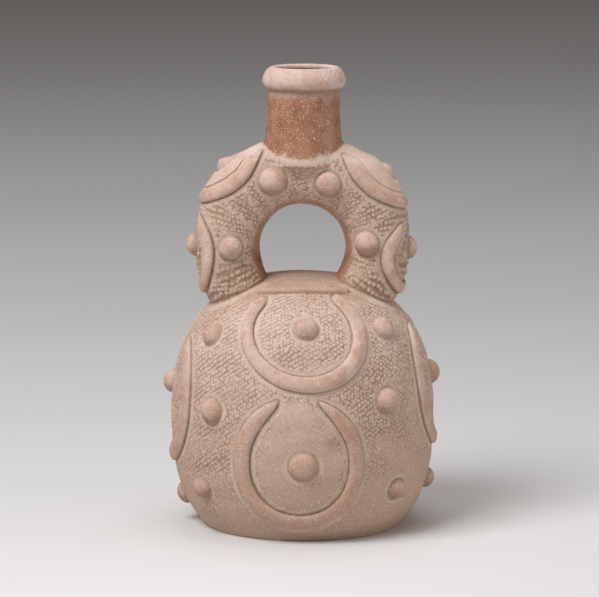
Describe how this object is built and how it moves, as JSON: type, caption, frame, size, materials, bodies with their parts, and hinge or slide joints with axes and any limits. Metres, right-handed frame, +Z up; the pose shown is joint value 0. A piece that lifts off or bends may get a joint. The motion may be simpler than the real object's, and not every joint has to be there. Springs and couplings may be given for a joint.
{
  "type": "stirrup spout vessel",
  "caption": "Hollow fired-clay bottle with a flat-based round belly, an arched stirrup handle of tube and one short spout, carved with crescents and bosses.",
  "frame": {"origin": "centre of the box's bottom, on the plane of the flat base, under the belly's axis", "axes": "+Z up through the spout, +X along the plane of the stirrup, -Y towards the front face"},
  "size_m": [0.1457, 0.146, 0.24],
  "materials": {
    "clay": "unglazed reddish buff clay, stippled, worn and dusted pale in the hollows"
  },
  "bodies": {
    "root": {"vessel": "clay"}
  },
  "joints": []
}
